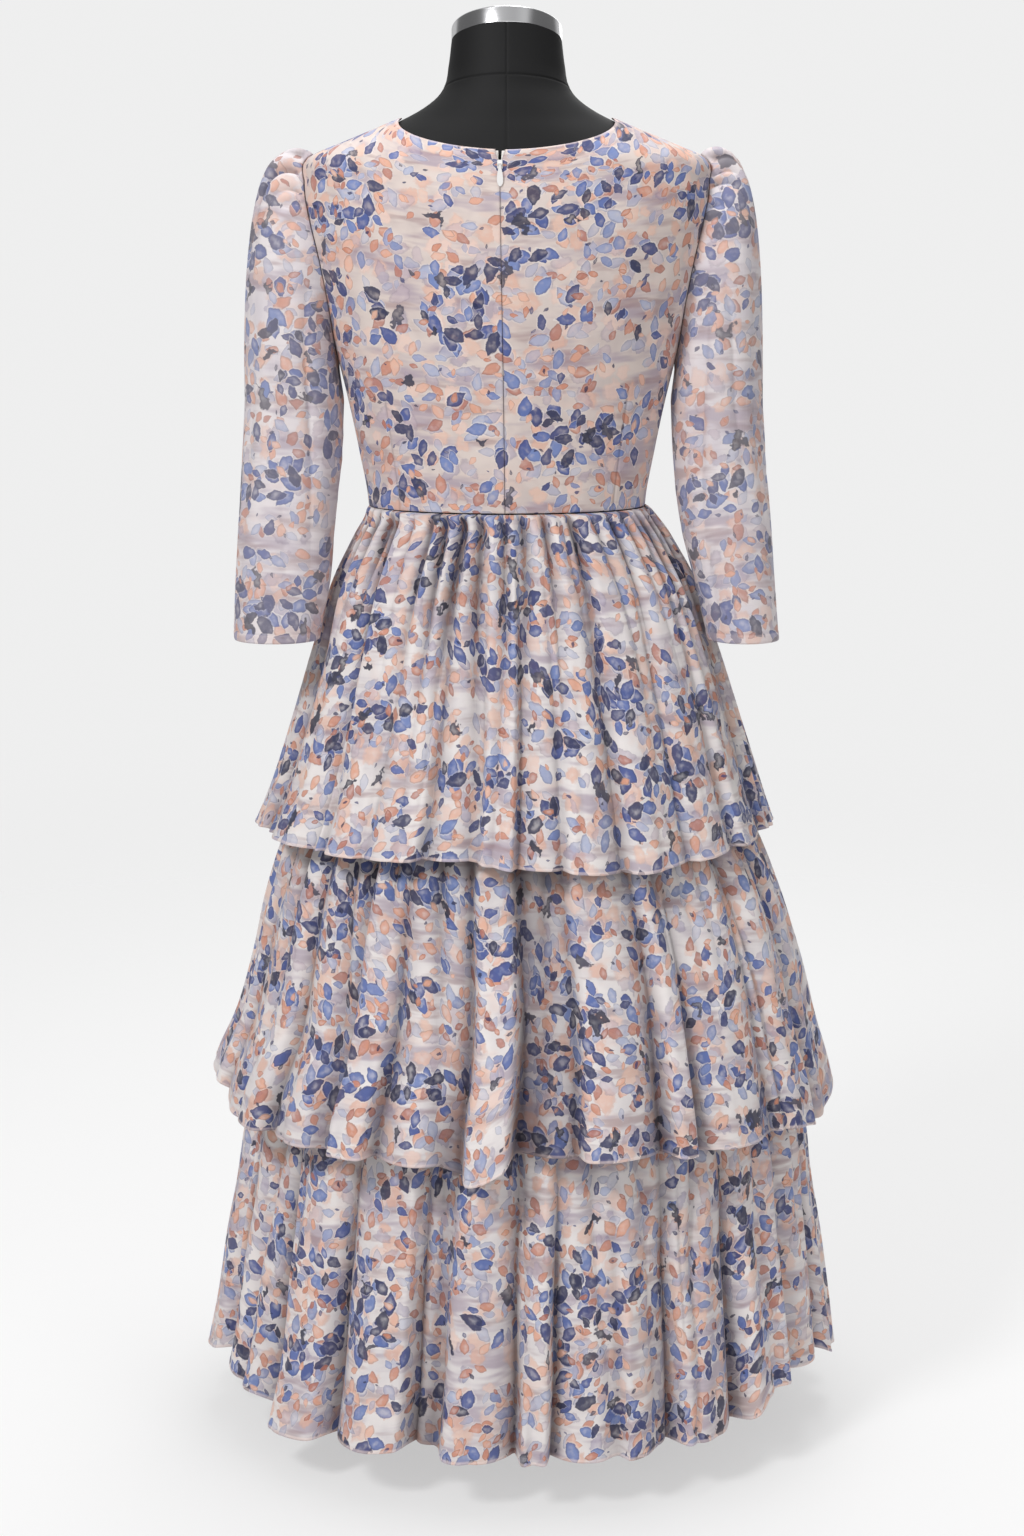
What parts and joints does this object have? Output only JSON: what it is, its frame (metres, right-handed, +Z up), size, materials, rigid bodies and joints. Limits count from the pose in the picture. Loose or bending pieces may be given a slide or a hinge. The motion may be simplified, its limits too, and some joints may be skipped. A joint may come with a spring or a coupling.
{
  "type": "tiered dress on a dress form",
  "caption": "Gathered tiered dress with a round neck, three-quarter puffed sleeves and a back zip, worn by a limbless dress form on a round foot.",
  "frame": {"origin": "the middle of the foot's underside, on the floor", "axes": "+Z up, the dress's back with its zip faces -Y, +X towards the wearer's right"},
  "size_m": [0.6474, 0.5899, 1.4008],
  "materials": {
    "printed_chiffon": "light printed chiffon, matt",
    "base_cloth": "plain light lining weight cloth",
    "zip_white": "white lacquered",
    "form_cover": "black stretch cover",
    "chrome": "polished",
    "stand_steel": "satin"
  },
  "bodies": {
    "dress_on_form": {"form_torso": "form_cover", "form_neck_cap": "chrome", "stand_foot": "stand_steel", "stand_pole": "stand_steel", "bodice_back_right": "printed_chiffon", "bodice_back_left": "printed_chiffon", "bodice_front": "printed_chiffon", "zip_tape": "zip_white", "sleeve_right": "printed_chiffon", "sleeve_left": "printed_chiffon", "base_skirt": "base_cloth", "tier_1_back": "printed_chiffon", "tier_1_front": "printed_chiffon", "tier_2_back": "printed_chiffon", "tier_2_front": "printed_chiffon", "tier_3_back": "printed_chiffon", "tier_3_front": "printed_chiffon", "zip_slider": "zip_white"},
    "zip_pull": {"zip_pull_tab": "zip_white"}
  },
  "joints": [
    {"name": "zip_pull_hinge", "type": "hinge", "parent": "dress_on_form", "child": "zip_pull", "pos_m": [-0.00627, -0.10336, 1.25474], "axis": [-0.9999, 0, -0.0122], "range_deg": [0, 150]}
  ]
}
